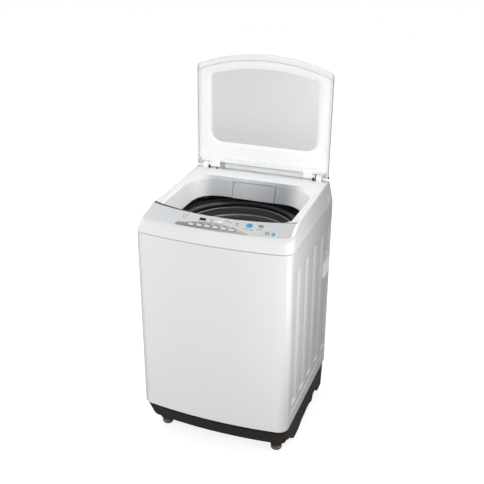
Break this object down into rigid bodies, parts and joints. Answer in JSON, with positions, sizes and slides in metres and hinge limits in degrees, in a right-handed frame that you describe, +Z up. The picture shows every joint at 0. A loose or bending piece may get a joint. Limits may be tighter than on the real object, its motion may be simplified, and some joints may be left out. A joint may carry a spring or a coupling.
{
  "type": "top load washing machine",
  "caption": "Top load washing machine: white cabinet on a dark plinth, hinged arched lid with a grey window, sloped control panel, steel basket and pulsator in a hung tub.",
  "frame": {"origin": "on the floor, under the axis of the tub and basket", "axes": "+Z up, the front with the control panel faces -Y, +X is the right-hand side seen from the front"},
  "size_m": [0.54, 0.5475, 1.3023],
  "materials": {
    "white_paint": "gloss",
    "rear_sheet": "satin",
    "white_plastic": "gloss",
    "panel_silver": "satin",
    "leaf_grey": "satin",
    "button_white": "gloss",
    "display_black": "gloss",
    "window_grey": "gloss",
    "bar_grey": "satin",
    "charcoal_plastic": "matte",
    "foot_plastic": "matte",
    "bumper_rubber": "matte",
    "tub_plastic": "satin",
    "black_plastic": "satin",
    "ring_grey": "gloss",
    "drum_steel": "satin",
    "pulsator_plastic": "gloss",
    "zinc_steel": "satin",
    "motor_paint": "satin",
    "cast_aluminium": "matte",
    "belt_rubber": "matte",
    "board_green": "satin"
  },
  "bodies": {
    "cabinet_body": {"cabinet": "white_paint", "side_handle_left": "white_plastic", "side_handle_right": "white_plastic", "rear_panel": "rear_sheet", "rear_panel_screws": "zinc_steel", "drain_collar": "black_plastic", "cord_gland": "black_plastic", "base_frame": "charcoal_plastic", "rear_feet": "foot_plastic", "corner_brackets": "zinc_steel", "suspension_rods": "zinc_steel", "suspension_springs": "zinc_steel", "top_cover": "white_plastic", "control_panel": "panel_silver", "button_strip": "leaf_grey", "display_window": "display_black", "control_board": "board_green", "drawer_housing": "tub_plastic", "inlet_valve": "tub_plastic", "inlet_pipe": "black_plastic", "lid_switch": "black_plastic", "water_level_sensor": "tub_plastic", "capacitor": "black_plastic", "hinge_pin_left": "zinc_steel", "hinge_pin_right": "zinc_steel"},
    "lid": {"lid_shell": "white_plastic", "lid_inner_frame": "white_plastic", "lid_window": "window_grey", "lid_hinge_bar": "bar_grey", "lid_bumpers": "bumper_rubber"},
    "drawer": {"detergent_drawer": "white_plastic"},
    "start_key": {"start_button": "button_white"},
    "power_key": {"power_button": "button_white"},
    "foot_left": {"front_foot_left": "foot_plastic"},
    "foot_right": {"front_foot_right": "foot_plastic"},
    "tub": {"outer_tub": "tub_plastic", "tub_cover": "black_plastic", "support_plate": "zinc_steel", "gearbox": "cast_aluminium", "motor": "motor_paint", "drive_belt": "belt_rubber", "drain_valve": "black_plastic", "suspension_cups": "black_plastic"},
    "basket": {"basket_wall": "drum_steel", "basket_base": "pulsator_plastic", "basket_flange": "cast_aluminium", "balance_ring": "ring_grey", "lint_filter": "pulsator_plastic"},
    "agitator": {"pulsator": "pulsator_plastic", "pulsator_cap": "button_white", "drive_shaft": "zinc_steel", "drive_pulley": "cast_aluminium"},
    "motor_rotor": {"motor_pulley": "cast_aluminium"},
    "function_key_1": {"function_button_1": "button_white"},
    "function_key_2": {"function_button_2": "button_white"},
    "function_key_3": {"function_button_3": "button_white"},
    "function_key_4": {"function_button_4": "button_white"},
    "function_key_5": {"function_button_5": "button_white"},
    "function_key_6": {"function_button_6": "button_white"}
  },
  "joints": [
    {"name": "lid_hinge", "type": "hinge", "parent": "cabinet_body", "child": "lid", "pos_m": [0, 0.25, 0.888], "axis": [1, 0, 0], "range_deg": [0, 93.5]},
    {"name": "drawer_slide", "type": "slide", "parent": "cabinet_body", "child": "drawer", "axis": [0, -1, 0], "range_m": [0, 0.06]},
    {"name": "tub_bounce", "type": "slide", "parent": "cabinet_body", "child": "tub", "axis": [0, 0, 1], "range_m": [-0.03, 0.01], "stiffness_N_per_m": 12000, "springref_m": 0.02305, "deforming": ["suspension_springs"]},
    {"name": "basket_spin", "type": "hinge", "parent": "tub", "child": "basket", "pos_m": [0, 0, 0.5], "axis": [0, 0, 1], "continuous": true},
    {"name": "agitator_spin", "type": "hinge", "parent": "tub", "child": "agitator", "pos_m": [0, 0, 0.34], "axis": [0, 0, 1], "continuous": true},
    {"name": "motor_spin", "type": "hinge", "parent": "tub", "child": "motor_rotor", "pos_m": [0.125, -0.1, 0.158], "axis": [0, 0, 1], "continuous": true},
    {"name": "foot_left_turn", "type": "hinge", "parent": "cabinet_body", "child": "foot_left", "pos_m": [-0.213, -0.163, 0.04], "axis": [0, 0, 1], "continuous": true},
    {"name": "foot_right_turn", "type": "hinge", "parent": "cabinet_body", "child": "foot_right", "pos_m": [0.213, -0.163, 0.04], "axis": [0, 0, 1], "continuous": true},
    {"name": "start_press", "type": "slide", "parent": "cabinet_body", "child": "start_key", "axis": [-0.0745, 0.3201, -0.9444], "range_m": [0, 0.0015], "stiffness_N_per_m": 1000},
    {"name": "power_press", "type": "slide", "parent": "cabinet_body", "child": "power_key", "axis": [-0.0829, 0.318, -0.9444], "range_m": [0, 0.0015], "stiffness_N_per_m": 1000},
    {"name": "function_press_1", "type": "slide", "parent": "cabinet_body", "child": "function_key_1", "axis": [0.0327, 0.327, -0.9444], "range_m": [0, 0.0015], "stiffness_N_per_m": 1000},
    {"name": "function_press_2", "type": "slide", "parent": "cabinet_body", "child": "function_key_2", "axis": [0.0207, 0.328, -0.9444], "range_m": [0, 0.0015], "stiffness_N_per_m": 1000},
    {"name": "function_press_3", "type": "slide", "parent": "cabinet_body", "child": "function_key_3", "axis": [0.0086, 0.3286, -0.9444], "range_m": [0, 0.0015], "stiffness_N_per_m": 1000},
    {"name": "function_press_4", "type": "slide", "parent": "cabinet_body", "child": "function_key_4", "axis": [-0.0035, 0.3286, -0.9444], "range_m": [0, 0.0015], "stiffness_N_per_m": 1000},
    {"name": "function_press_5", "type": "slide", "parent": "cabinet_body", "child": "function_key_5", "axis": [-0.0155, 0.3283, -0.9444], "range_m": [0, 0.0015], "stiffness_N_per_m": 1000},
    {"name": "function_press_6", "type": "slide", "parent": "cabinet_body", "child": "function_key_6", "axis": [-0.0275, 0.3275, -0.9444], "range_m": [0, 0.0015], "stiffness_N_per_m": 1000}
  ],
  "couplings": [
    {"joint": "motor_spin", "follows": "agitator_spin", "ratio": 4}
  ]
}
